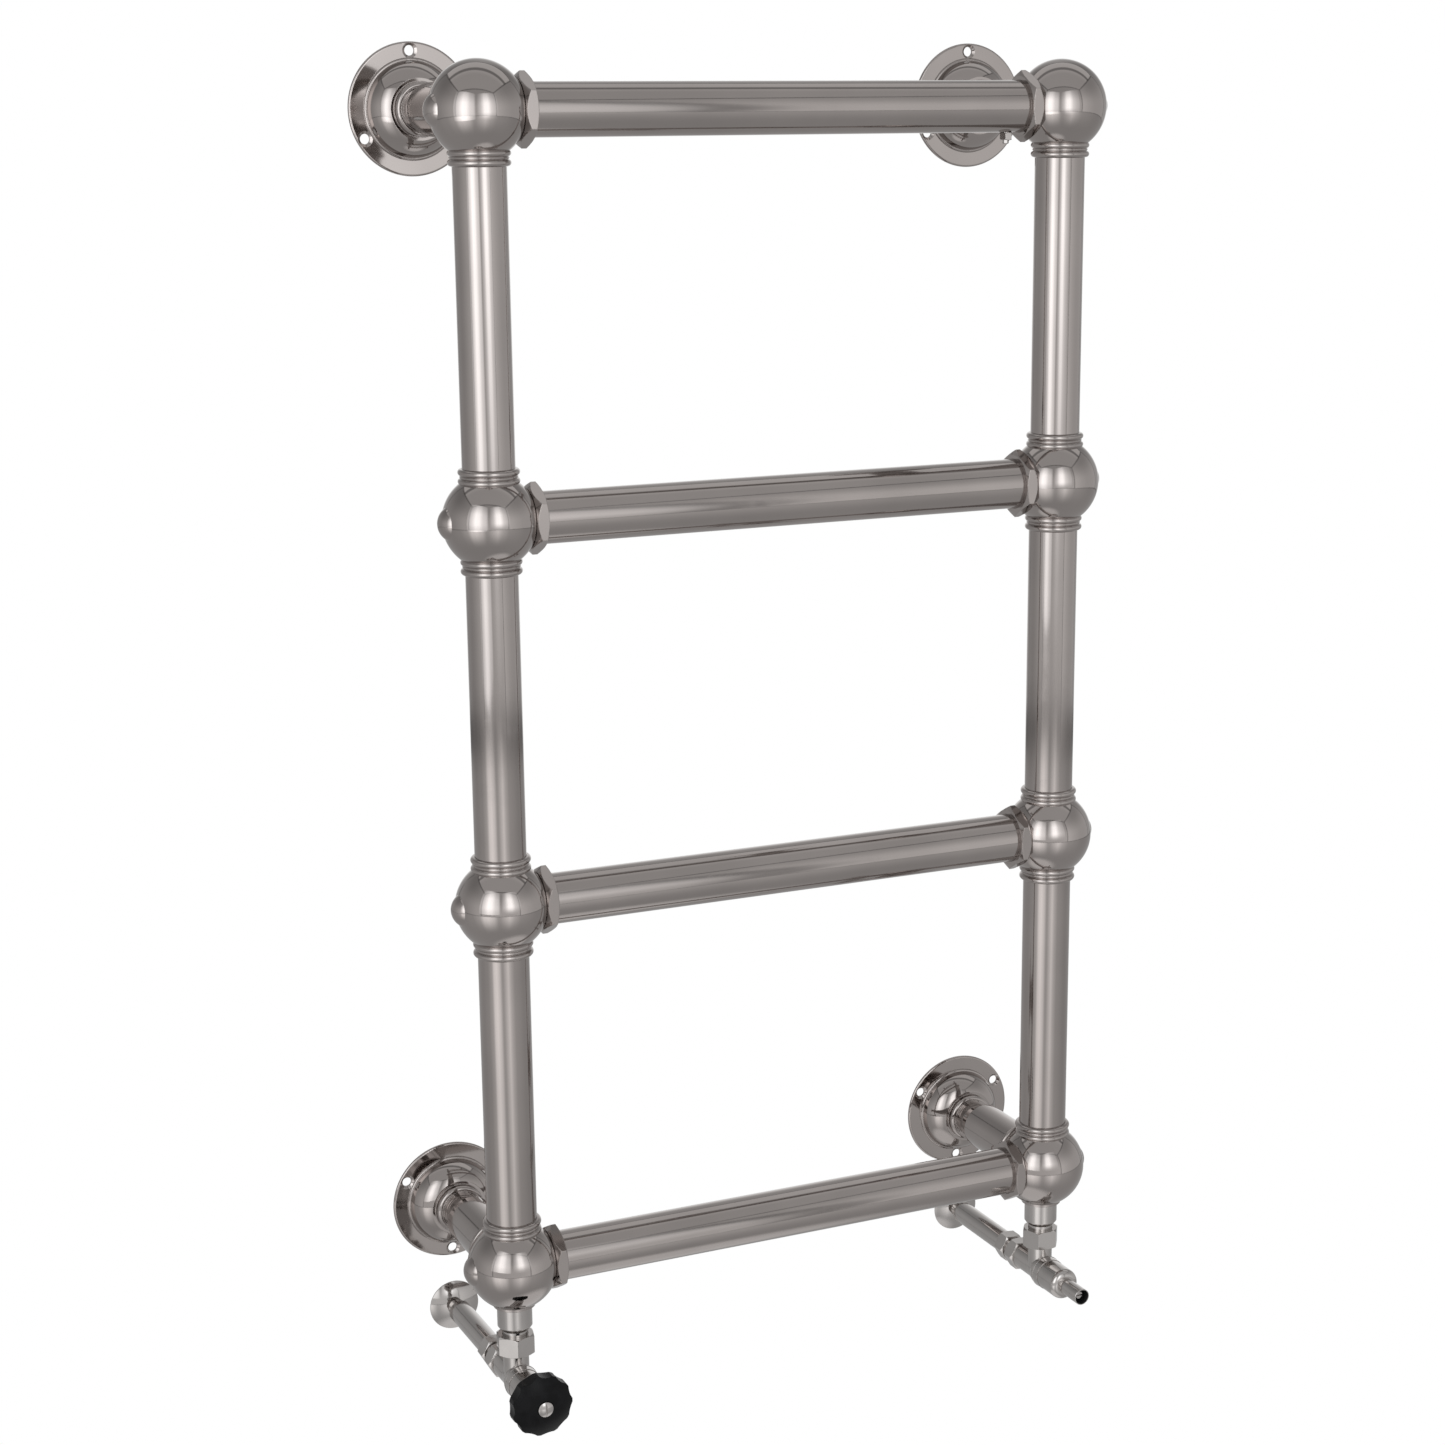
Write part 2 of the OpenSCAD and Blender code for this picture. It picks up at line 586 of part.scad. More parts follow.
module wall_rose(side) translate([side * half, 0, valve_z]) to_front() {
    rise = 6.5;
    rr = rose_d / 2;
    cap_r = (rr * rr + rise * rise) / 2 / rise;
    difference() {
        union() {
            cylinder(r = rr, h = 0.8);
            intersection() {
                translate([0, 0, 0.7 + rise - cap_r]) sphere(r = cap_r);
                translate([0, 0, 0.7]) cylinder(r = rr, h = 20);
            }
        }
        translate([0, 0, -1]) intersection() {
            translate([0, 0, rise - 0.2 - cap_r]) sphere(r = cap_r);
            cylinder(r = rr + 5, h = 20);
        }
        translate([0, 0, -1]) cylinder(r = pipe_r + gap, h = 20);
    }
}
module wall_rose_left() color(plated) wall_rose(-1);
module wall_rose_right() color(plated) wall_rose(1);

ball_left_1();
ball_left_2();
ball_left_3();
ball_left_4();
ball_right_1();
ball_right_2();
ball_right_3();
ball_right_4();
post_left_1();
post_left_2();
post_left_3();
post_right_1();
post_right_2();
post_right_3();
rail_1();
rail_2();
rail_3();
rail_4();
rail_nuts_1();
rail_nuts_2();
rail_nuts_3();
rail_nuts_4();
seal_rings();
wall_sleeve_top_left();
wall_sleeve_top_right();
wall_sleeve_bottom_left();
wall_sleeve_bottom_right();
wall_flange_top_left();
wall_flange_top_right();
wall_flange_bottom_left();
wall_flange_bottom_right();
bleed_plug();
bleed_screw();
connector_left();
connector_right();
union_nut_left();
union_nut_right();
union_washers();
valve_body_left();
valve_body_right();
bonnet_left();
bonnet_right();
spindle_left();
spindle_right();
jumper_left();
jumper_right();
jumper_washer_left();
jumper_washer_right();
handwheel();
handwheel_screw();
lockshield_liner();
comp_nut_left();
comp_nut_right();
olives();
supply_pipe_left();
supply_pipe_right();
pipe_sleeve_left();
pipe_sleeve_right();
wall_rose_left();
wall_rose_right();
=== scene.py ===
import math

import bpy
from bpy.props import (
    FloatProperty,
    FloatVectorProperty,
    IntProperty,
    PointerProperty,
)
from mathutils import Matrix, Vector


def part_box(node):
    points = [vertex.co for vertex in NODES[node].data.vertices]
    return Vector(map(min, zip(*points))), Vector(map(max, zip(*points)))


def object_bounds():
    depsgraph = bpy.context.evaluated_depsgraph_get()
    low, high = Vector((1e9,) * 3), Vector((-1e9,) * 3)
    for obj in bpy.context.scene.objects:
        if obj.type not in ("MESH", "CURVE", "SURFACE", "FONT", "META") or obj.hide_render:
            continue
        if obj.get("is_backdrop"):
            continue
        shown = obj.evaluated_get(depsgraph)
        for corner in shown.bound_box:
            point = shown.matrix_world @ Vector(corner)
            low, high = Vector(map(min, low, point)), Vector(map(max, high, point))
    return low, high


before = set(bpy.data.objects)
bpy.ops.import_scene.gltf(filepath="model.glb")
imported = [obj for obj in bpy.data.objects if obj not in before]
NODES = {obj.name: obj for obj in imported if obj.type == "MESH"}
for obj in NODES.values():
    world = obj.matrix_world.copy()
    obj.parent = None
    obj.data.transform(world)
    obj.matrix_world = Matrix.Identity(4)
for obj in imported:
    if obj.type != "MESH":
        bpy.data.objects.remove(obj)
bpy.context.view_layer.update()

bl_info = {
    "name": "Towel Radiator with Valves",
    "version": (1, 0, 0),
    "blender": (4, 5, 0),
    "location": "3D View > Sidebar > Radiator",
    "description": "Plated finishes and a soft studio for a ball-jointed towel radiator",
    "category": "Object",
}

ROOT = "radiator"

# which of the radiator's parts carry which finish
POSTS = [n for n in NODES if n.startswith("post_")]
RAILS = [n for n in NODES if n.startswith("rail_") and "nuts" not in n]
SLEEVES = [n for n in NODES if n.startswith("wall_sleeve")]
BALLS = [n for n in NODES if n.startswith("ball_")]
RAIL_NUTS = [n for n in NODES if n.startswith("rail_nuts")]
FLANGES = [n for n in NODES if n.startswith("wall_flange")]
TURNED = [n for n in NODES if n.startswith(("valve_body", "bonnet", "connector"))]
VALVE_NUTS = [n for n in NODES if n.startswith(("union_nut", "comp_nut", "bleed_plug"))]
COVERS = [n for n in NODES if n.startswith(("pipe_sleeve", "wall_rose", "supply_pipe"))]
SPINDLES = [n for n in NODES if n.startswith(("spindle", "bleed_screw", "handwheel_screw"))]


# ---- shader building -------------------------------------------------------------------------


class Term:
    """One output of a node tree that can be used in ordinary arithmetic."""

    def __init__(self, builder, socket):
        self.builder = builder
        self.socket = socket

    def _math(self, operation, a, b):
        node = self.builder.node("ShaderNodeMath", {"operation": operation}, {0: a, 1: b})
        return self.builder.out(node)

    def __add__(self, other):
        return self._math("ADD", self, other)

    def __radd__(self, other):
        return self._math("ADD", other, self)

    def __sub__(self, other):
        return self._math("SUBTRACT", self, other)

    def __rsub__(self, other):
        return self._math("SUBTRACT", other, self)

    def __mul__(self, other):
        return self._math("MULTIPLY", self, other)

    def __rmul__(self, other):
        return self._math("MULTIPLY", other, self)

    def __truediv__(self, other):
        return self._math("DIVIDE", self, other)

    def __rtruediv__(self, other):
        return self._math("DIVIDE", other, self)

    def __pow__(self, other):
        return self._math("POWER", self, other)

    def __neg__(self):
        return self._math("MULTIPLY", self, -1.0)


class Finish:
    """Builds the node tree of one finish, light or world."""

    def __init__(self, owner):
        owner.use_nodes = True
        self.tree = owner.node_tree
        self.tree.nodes.clear()
        self.count = 0

    def node(self, kind, settings=None, values=None):
        """A node of the given type, with its settings made first and then its sockets."""
        made = self.tree.nodes.new(kind)
        made.location = (220 * (self.count % 8) - 1800, -180 * (self.count // 8))
        self.count += 1
        for name, value in (settings or {}).items():
            if name == "stops":
                ends = made.color_ramp.elements
                ends[0].position, ends[0].color = value[0]
                ends[1].position, ends[1].color = value[-1]
                for position, colour in value[1:-1]:
                    ends.new(position).color = colour
            else:
                setattr(made, name, value)
        for name, value in (values or {}).items():
            socket = made.inputs[name]
            if isinstance(value, Term):
                self.tree.links.new(value.socket, socket)
            else:
                socket.default_value = value
        return made

    def out(self, node, name=0):
        return Term(self, node.outputs[name])

    def coordinates(self, kind="Object"):
        return self.out(self.node("ShaderNodeTexCoord"), kind)

    def stretched(self, vector, scale):
        """Coordinates stretched by a factor for each axis."""
        node = self.node("ShaderNodeVectorMath", {"operation": "MULTIPLY"}, {0: vector, 1: scale})
        return self.out(node, "Vector")

    def noise(self, vector, scale, detail=2.0, roughness=0.5, distortion=0.0):
        node = self.node(
            "ShaderNodeTexNoise",
            {"noise_dimensions": "3D"},
            {"Vector": vector, "Scale": scale, "Detail": detail, "Roughness": roughness, "Distortion": distortion},
        )
        return self.out(node, "Fac")

    def cells(self, vector, scale, feature="F1"):
        node = self.node("ShaderNodeTexVoronoi", {"feature": feature}, {"Vector": vector, "Scale": scale})
        return self.out(node, "Distance")

    def smooth(self, value, low, high, first=0.0, last=1.0):
        """A soft step from one value to another."""
        node = self.node(
            "ShaderNodeMapRange",
            {"interpolation_type": "SMOOTHSTEP"},
            {"Value": value, "From Min": low, "From Max": high, "To Min": first, "To Max": last},
        )
        return self.out(node, "Result")

    def levels(self, value, stops):
        """A number that follows straight lines between (position, level) stops."""
        top = max(level for _, level in stops)
        low, high = stops[0][0], stops[-1][0]
        greys = [((place - low) / (high - low), rgba((1.0, 1.0, 1.0), level / top)) for place, level in stops]
        share = (value - low) / (high - low)
        return self.out(self.node("ShaderNodeValToRGB", {"stops": greys}, {"Fac": share}), "Color") * top

    def larger(self, first, second):
        return self.out(self.node("ShaderNodeMath", {"operation": "MAXIMUM"}, {0: first, 1: second}))

    def smaller(self, first, second):
        return self.out(self.node("ShaderNodeMath", {"operation": "MINIMUM"}, {0: first, 1: second}))

    def dot(self, vector, direction):
        node = self.node("ShaderNodeVectorMath", {"operation": "DOT_PRODUCT"}, {0: vector, 1: direction})
        return self.out(node, "Value")

    def blend(self, factor, first, last):
        """Mixes two colours."""
        node = self.node(
            "ShaderNodeMix",
            {"data_type": "RGBA", "blend_type": "MIX"},
            {"Factor": factor, 6: first, 7: last},
        )
        return self.out(node, 2)

    def bump(self, height, distance, strength=1.0, normal=None):
        values = {"Height": height, "Distance": distance, "Strength": strength}
        if normal is not None:
            values["Normal"] = normal
        return self.out(self.node("ShaderNodeBump", None, values), "Normal")

    def soft_edges(self, radius):
        """Normals that turn over sharp edges as on a polished or plated part."""
        return self.out(self.node("ShaderNodeBevel", {"samples": 4}, {"Radius": radius}), "Normal")

    def join(self, factor, first, last):
        """Mixes two shaders."""
        node = self.node("ShaderNodeMixShader", None, {"Fac": factor})
        self.tree.links.new(first.outputs[0], node.inputs[1])
        self.tree.links.new(last.outputs[0], node.inputs[2])
        return node

    def surface(self, values):
        shader = self.node("ShaderNodeBsdfPrincipled", None, values)
        output = self.node("ShaderNodeOutputMaterial")
        self.tree.links.new(shader.outputs["BSDF"], output.inputs["Surface"])


def rgba(colour, factor=1.0):
    return (colour[0] * factor, colour[1] * factor, colour[2] * factor, 1.0)


def new_material(name):
    material = bpy.data.materials.new(name)
    return material, Finish(material)


def dress(names, material):
    """Puts a finish on every slot of the named parts of the radiator."""
    for name in names:
        part = NODES[name]
        if not part.material_slots:
            part.data.materials.append(material)
        for slot in part.material_slots:
            slot.material = material


# ---- finishes --------------------------------------------------------------------------------


def polished_nickel(name, colour, roughness, grain, wave, edge=0.0, brush=1.0):
    """Nickel plate polished on a mop: fine lines along the grain, faint smears and a slow wave.

    grain is the stretch for each axis, large across the polishing lines."""
    material, f = new_material(name)
    place = f.coordinates()
    along = f.stretched(place, grain)
    lines = f.noise(along, 32.0, 3.0, 0.6)
    fine = f.noise(along, 260.0, 2.0, 0.5)
    smear = f.smooth(f.noise(place, 22.0, 4.0, 0.62, 0.6), 0.52, 0.78)
    specks = f.smooth(f.cells(place, 900.0), 0.10, 0.04)
    speck_mask = f.smooth(f.noise(place, 45.0, 2.0, 0.5), 0.58, 0.70)
    dull = (lines - 0.5) * 0.055 + smear * 0.05 + specks * speck_mask * 0.10
    tone = f.noise(place, 9.0, 3.0, 0.55)
    base = f.blend(f.smooth(tone, 0.3, 0.7), rgba(colour, 0.955), rgba(colour, 1.045))
    slow = f.noise(place, 30.0, 1.0, 0.4)
    height = slow * wave + fine * (brush * 0.0000012) + lines * (brush * 0.0000110)
    normal = f.bump(height, 1.0, 1.0, f.soft_edges(edge) if edge else None)
    f.surface({
        "Base Color": base,
        "Metallic": 1.0,
        "Roughness": dull + roughness,
        "Normal": normal,
    })
    return material


def turned_plate(name, colour, roughness, centre_axis, edge):
    """Plated brass as turned on a lathe: fine rings round the axis under a bright plate."""
    material, f = new_material(name)
    place = f.coordinates()
    rings = f.noise(f.stretched(place, centre_axis), 420.0, 3.0, 0.6)
    smear = f.smooth(f.noise(place, 60.0, 3.0, 0.6, 0.4), 0.50, 0.75)
    pits = f.smooth(f.cells(place, 1400.0), 0.09, 0.03) * f.smooth(f.noise(place, 130.0, 1.0, 0.5), 0.55, 0.68)
    dull = (rings - 0.5) * 0.09 + smear * 0.05 + pits * 0.12
    tone = f.noise(place, 34.0, 2.0, 0.5)
    base = f.blend(f.smooth(tone, 0.3, 0.7), rgba(colour, 0.94), rgba(colour, 1.05))
    height = rings * 0.0000022 + f.noise(place, 140.0, 1.0, 0.5) * 0.000012
    f.surface({
        "Base Color": base,
        "Metallic": 1.0,
        "Roughness": dull + roughness,
        "Normal": f.bump(height, 1.0, 1.0, f.soft_edges(edge)),
    })
    return material


def moulded_black(name, colour):
    """Compression-moulded black grip: satin skin, faint flow mottling and rubbed high spots."""
    material, f = new_material(name)
    place = f.coordinates()
    flow = f.noise(place, 90.0, 4.0, 0.6, 0.8)
    pores = f.smooth(f.cells(place, 1700.0), 0.16, 0.05)
    rub = f.smooth(f.noise(place, 38.0, 3.0, 0.55), 0.48, 0.72)
    base = f.blend(f.smooth(flow, 0.35, 0.7), rgba(colour, 0.8), rgba(colour, 1.5))
    height = f.noise(place, 900.0, 3.0, 0.6) * 0.000016 + pores * -0.00001
    f.surface({
        "Base Color": base,
        "Roughness": 0.34 + (flow - 0.5) * 0.16 - rub * 0.08 + pores * 0.10,
        "Normal": f.bump(height, 1.0, 1.0, f.soft_edges(0.0009)),
        "Specular IOR Level": 0.12,
    })
    return material


def bare_metal(name, colour, roughness):
    """Unplated brass or copper inside the valves and behind the wall, dulled a little."""
    material, f = new_material(name)
    place = f.coordinates()
    cloud = f.noise(place, 70.0, 4.0, 0.6, 0.5)
    lines = f.noise(f.stretched(place, (1.0, 0.06, 1.0)), 500.0, 2.0, 0.5)
    base = f.blend(f.smooth(cloud, 0.4, 0.72), rgba(colour), rgba(colour, 0.62))
    f.surface({
        "Base Color": base,
        "Metallic": 1.0,
        "Roughness": (cloud - 0.5) * 0.3 + (lines - 0.5) * 0.12 + roughness,
        "Normal": f.bump(lines * 0.000003, 1.0),
    })
    return material


def seal_material(name, colour, roughness, grain):
    """Rubber rings, jumper washers and fibre washers."""
    material, f = new_material(name)
    place = f.coordinates()
    fibres = f.noise(f.stretched(place, grain), 700.0, 3.0, 0.65)
    base = f.blend(fibres, rgba(colour, 0.7), rgba(colour, 1.35))
    f.surface({
        "Base Color": base,
        "Roughness": (fibres - 0.5) * 0.2 + roughness,
        "Normal": f.bump(fibres * 0.00003, 1.0),
    })
    return material


# ---- sizes and colours -----------------------------------------------------------------------


class RadiatorFinishes(bpy.types.PropertyGroup):
    """Colours and polish of the radiator's finishes"""

    nickel: FloatVectorProperty(
        name="Nickel", description="Colour of the polished nickel plate",
        subtype="COLOR", size=3, min=0.0, max=1.0, default=(0.400, 0.365, 0.350),
    )
    nickel_roughness: FloatProperty(
        name="Nickel roughness", description="How far the polish of the nickel is from a mirror",
        default=0.075, min=0.0, max=1.0,
    )
    tube_wave: FloatProperty(
        name="Tube wave", description="Depth of the slow wave left in the drawn tubes by polishing",
        default=0.000012, min=0.0, max=0.001, precision=6, unit="LENGTH",
    )
    casting_wave: FloatProperty(
        name="Casting wave", description="Depth of the slow wave left in the cast balls by polishing",
        default=0.00003, min=0.0, max=0.001, precision=6, unit="LENGTH",
    )
    edge_round: FloatProperty(
        name="Edge rounding", description="Radius to which plating and polishing rounds the nut edges",
        default=0.0006, min=0.0, max=0.005, precision=5, unit="LENGTH",
    )
    plate: FloatVectorProperty(
        name="Valve plate", description="Colour of the plated valves, nuts and pipe covers",
        subtype="COLOR", size=3, min=0.0, max=1.0, default=(0.49, 0.465, 0.45),
    )
    plate_roughness: FloatProperty(
        name="Plate roughness", description="How far the plate of the valves is from a mirror",
        default=0.095, min=0.0, max=1.0,
    )
    grip: FloatVectorProperty(
        name="Handwheel", description="Colour of the moulded handwheel",
        subtype="COLOR", size=3, min=0.0, max=1.0, default=(0.0045, 0.0045, 0.005),
    )
    # near-black colour for the ring recessed inside the lockshield nozzle
    liner: FloatVectorProperty(
        name="Lockshield liner", description="Colour of the recessed liner in the lockshield nozzle",
        subtype="COLOR", size=3, min=0.0, max=1.0, default=(0.012, 0.012, 0.012),
    )
    rubber: FloatVectorProperty(
        name="Rubber", description="Colour of the sealing rings and valve washers",
        subtype="COLOR", size=3, min=0.0, max=1.0, default=(0.02, 0.02, 0.02),
    )
    fibre: FloatVectorProperty(
        name="Fibre", description="Colour of the union washers",
        subtype="COLOR", size=3, min=0.0, max=1.0, default=(0.22, 0.09, 0.05),
    )
    brass: FloatVectorProperty(
        name="Brass", description="Colour of the bare brass inside the valves",
        subtype="COLOR", size=3, min=0.0, max=1.0, default=(0.62, 0.42, 0.17),
    )
    copper: FloatVectorProperty(
        name="Copper", description="Colour of the compression rings in the valves",
        subtype="COLOR", size=3, min=0.0, max=1.0, default=(0.72, 0.36, 0.22),
    )


class RadiatorStage(bpy.types.PropertyGroup):
    """Floor, room, lamps and camera"""

    floor_drop: FloatProperty(
        name="Floor drop", description="Height of the lowest valve part above the floor",
        default=0.55, min=0.0, unit="LENGTH",
    )
    floor_radius: FloatProperty(
        name="Floor radius", description="Radius of the round pale floor",
        default=0.55, min=0.2, unit="LENGTH",
    )
    floor_colour: FloatVectorProperty(
        name="Floor colour", description="Colour of the pale floor",
        subtype="COLOR", size=3, min=0.0, max=1.0, default=(0.93, 0.93, 0.93),
    )
    room: FloatProperty(
        name="Room", description="Brightness of the grey room around the radiator",
        default=0.83, min=0.0, max=2.0,
    )
    seam: FloatProperty(
        name="Seams", description="How dark the seams between the walls of the room are",
        default=0.58, min=0.0, max=1.0,
    )
    backdrop: FloatProperty(
        name="Backdrop", description="Brightness of the white backdrop behind the radiator",
        default=1.0, min=0.0, max=2.0,
    )
    softbox: FloatProperty(
        name="Softbox", description="Brightness of the middle of a softbox beside the camera",
        default=2.04, min=0.0, max=20.0,
    )
    softbox_width: FloatProperty(
        name="Softbox width", description="Width of a softbox", default=2.14, min=0.1, unit="LENGTH",
    )
    softbox_height: FloatProperty(
        name="Softbox height", description="Height of a softbox", default=2.71, min=0.1, unit="LENGTH",
    )
    softbox_low: FloatProperty(
        name="Softbox lower edge", description="Height of a softbox's lower edge against the radiator's middle",
        default=-0.46, unit="LENGTH",
    )
    softbox_turn_left: FloatProperty(
        name="Left softbox", description="Direction of the left softbox against the camera's",
        default=math.radians(-28.0), subtype="ANGLE",
    )
    softbox_turn_right: FloatProperty(
        name="Right softbox", description="Direction of the right softbox against the camera's",
        default=math.radians(24.0), subtype="ANGLE",
    )
    lamp_distance: FloatProperty(
        name="Lamp distance", description="Distance of the softboxes from the radiator",
        default=2.4, min=0.5, unit="LENGTH",
    )
    camera_turn: FloatProperty(
        name="Camera turn", description="How far the camera looks to the right of straight at the wall",
        default=math.radians(25.64), subtype="ANGLE",
    )
    camera_tilt: FloatProperty(
        name="Camera tilt", description="How far the camera looks down",
        default=math.radians(14.04), subtype="ANGLE",
    )
    camera_roll: FloatProperty(
        name="Camera roll", description="Roll of the camera", default=math.radians(0.26), subtype="ANGLE",
    )
    camera_place: FloatVectorProperty(
        name="Camera place", description="Where the camera stands",
        size=3, subtype="TRANSLATION", unit="LENGTH", default=(-0.98606, -2.22701, 0.48107),
    )
    lens: FloatProperty(
        name="Lens", description="Focal length in millimetres on a 36 mm frame", default=69.63, min=10.0,
    )
    shift_x: FloatProperty(name="Shift right", description="Sideways shift of the lens", default=-0.0484)
    shift_y: FloatProperty(name="Shift up", description="Upward shift of the lens", default=0.0484)
    lobe_samples: IntProperty(
        name="Room map", description="Size of the map that the room's light is sampled with",
        default=1024, min=64, max=4096,
    )


# ---- operators -------------------------------------------------------------------------------


class RADIATOR_OT_finish_tubes(bpy.types.Operator):
    """Polished nickel on the posts, the rails and the sleeves to the wall"""

    bl_idname = "radiator.finish_tubes"
    bl_label = "Finish Tubes"

    def execute(self, context):
        s = context.scene.radiator_finishes
        for name, parts, grain in (
            ("Nickel posts", POSTS, (8.0, 8.0, 0.25)),
            ("Nickel rails", RAILS, (0.25, 8.0, 8.0)),
            ("Nickel wall sleeves", SLEEVES, (8.0, 0.25, 8.0)),
        ):
            dress(parts, polished_nickel(name, s.nickel, s.nickel_roughness, grain, s.tube_wave))
        return {"FINISHED"}


class RADIATOR_OT_finish_balls(bpy.types.Operator):
    """Polished nickel on the cast balls with their beaded collars"""

    bl_idname = "radiator.finish_balls"
    bl_label = "Finish Balls"

    def execute(self, context):
        s = context.scene.radiator_finishes
        dress(BALLS, polished_nickel(
            "Nickel balls", s.nickel, s.nickel_roughness * 0.8, (2.0, 2.0, 2.0), s.casting_wave, s.edge_round, 0.1))
        return {"FINISHED"}


class RADIATOR_OT_finish_rail_nuts(bpy.types.Operator):
    """Polished nickel with rounded edges on the hexagon nuts of the rails"""

    bl_idname = "radiator.finish_rail_nuts"
    bl_label = "Finish Rail Nuts"

    def execute(self, context):
        s = context.scene.radiator_finishes
        dress(RAIL_NUTS, polished_nickel(
            "Nickel rail nuts", s.nickel, s.nickel_roughness, (6.0, 1.0, 1.0), s.tube_wave, s.edge_round * 1.6, 0.1))
        return {"FINISHED"}


class RADIATOR_OT_finish_flanges(bpy.types.Operator):
    """Polished nickel on the domed wall flanges"""

    bl_idname = "radiator.finish_flanges"
    bl_label = "Finish Wall Flanges"

    def execute(self, context):
        s = context.scene.radiator_finishes
        dress(FLANGES, polished_nickel(
            "Nickel flanges", s.nickel, s.nickel_roughness * 0.8, (2.0, 2.0, 2.0), s.tube_wave, s.edge_round, 0.1))
        return {"FINISHED"}


class RADIATOR_OT_finish_valves(bpy.types.Operator):
    """Turned and plated brass on the valve bodies, bonnets, connectors, nuts and bleed plug"""

    bl_idname = "radiator.finish_valves"
    bl_label = "Finish Valves"

    def execute(self, context):
        s = context.scene.radiator_finishes
        dress(TURNED, turned_plate("Plated valve bodies", s.plate, s.plate_roughness, (0.3, 4.0, 1.0), s.edge_round))
        dress(VALVE_NUTS, turned_plate(
            "Plated valve nuts", s.plate, s.plate_roughness * 0.9, (1.0, 1.0, 3.0), s.edge_round * 0.7))
        dress(SPINDLES, turned_plate(
            "Plated spindles and screws", s.plate, s.plate_roughness, (1.0, 4.0, 1.0), s.edge_round * 0.4))
        return {"FINISHED"}


class RADIATOR_OT_finish_pipe_covers(bpy.types.Operator):
    """Plated supply pipes with the sleeves over them and the domed cover plates on the wall"""

    bl_idname = "radiator.finish_pipe_covers"
    bl_label = "Finish Pipe Covers"

    def execute(self, context):
        s = context.scene.radiator_finishes
        dress(COVERS, polished_nickel(
            "Plated pipe covers", s.plate, s.plate_roughness, (6.0, 0.3, 6.0), s.tube_wave, s.edge_round * 0.5, 0.3))
        return {"FINISHED"}


class RADIATOR_OT_finish_handwheel(bpy.types.Operator):
    """Satin black moulding on the handwheel, and the same finish in a near-black colour on the ring recessed in the
    lockshield nozzle
    """

    bl_idname = "radiator.finish_handwheel"
    bl_label = "Finish Handwheel"

    def execute(self, context):
        s = context.scene.radiator_finishes
        dress(["handwheel"], moulded_black("Black moulded grip", s.grip))
        # the ring recessed inside the lockshield nozzle gets the satin black finish in a near-black colour
        dress(["lockshield_liner"], moulded_black("Black lockshield liner", s.liner))
        return {"FINISHED"}


class RADIATOR_OT_finish_inner_parts(bpy.types.Operator):
    """Rubber, fibre, brass and copper on the parts inside the joints and valves"""

    bl_idname = "radiator.finish_inner_parts"
    bl_label = "Finish Inner Parts"

    def execute(self, context):
        s = context.scene.radiator_finishes
        dress(["seal_rings", "jumper_washer_left", "jumper_washer_right"],
              seal_material("Sealing rubber", s.rubber, 0.62, (1.0, 1.0, 1.0)))
        dress(["union_washers"], seal_material("Union fibre", s.fibre, 0.8, (3.0, 3.0, 0.4)))
        dress(["jumper_left", "jumper_right"], bare_metal("Bare brass", s.brass, 0.32))
        dress(["olives"], bare_metal("Bare copper", s.copper, 0.34))
        return {"FINISHED"}


def view_axes(turn, tilt, roll):
    """The camera's right, up and forward directions."""
    forward = Vector((math.sin(turn) * math.cos(tilt), math.cos(turn) * math.cos(tilt), -math.sin(tilt)))
    side = Vector((math.cos(turn), -math.sin(turn), 0.0))
    down = forward.cross(side)
    right = side * math.cos(roll) + down * math.sin(roll)
    down = down * math.cos(roll) - side * math.sin(roll)
    return right, -down, forward


def softbox(name, place, target, width, height, brightness, across, upward):
    """A large softbox. across and upward give its level from left to right and from bottom to top."""
    light = bpy.data.lights.new(name, "AREA")
    light.shape = "RECTANGLE"
    light.size = width
    light.size_y = height
    # an area light of this power has a radiance of one
    light.energy = math.pi * width * height
    f = Finish(light)
    where = f.node("ShaderNodeSeparateXYZ", None, {0: f.coordinates("UV")})
    level = f.levels(f.out(where, 0), across) * f.levels(f.out(where, 1), upward) * brightness
    glow = f.node("ShaderNodeEmission", None, {"Color": (0.97, 1.0, 1.02, 1.0), "Strength": level})
    output = f.node("ShaderNodeOutputLight")
    f.tree.links.new(glow.outputs[0], output.inputs[0])
    lamp = bpy.data.objects.new(name, light)
    lamp.location = place
    lamp.rotation_euler = (Vector(target) - Vector(place)).to_track_quat("-Z", "Y").to_euler()
    lamp.visible_camera = False
    bpy.context.scene.collection.objects.link(lamp)
    return lamp


# how the two softboxes fade: sideways from left to right, and upwards from their lower edge
LEFT_ACROSS = ((0.0, 0.12), (0.09, 0.25), (0.26, 0.60), (0.42, 1.0), (0.58, 0.91), (0.74, 0.52), (0.91, 0.36), (1.0, 0.08))
LEFT_UPWARD = ((0.0, 0.62), (0.07, 0.68), (0.155, 0.84), (0.21, 0.96), (0.30, 1.0), (0.58, 1.0), (1.0, 0.35))
RIGHT_ACROSS = ((0.0, 0.02), (0.18, 0.32), (0.34, 0.87), (0.50, 0.91), (0.66, 0.43), (0.82, 0.23), (1.0, 0.10))
RIGHT_UPWARD = (
    (0.0, 0.04), (0.066, 0.15), (0.155, 0.53), (0.188, 0.71), (0.232, 0.87), (0.27, 1.0), (0.58, 1.0), (1.0, 0.35),
)
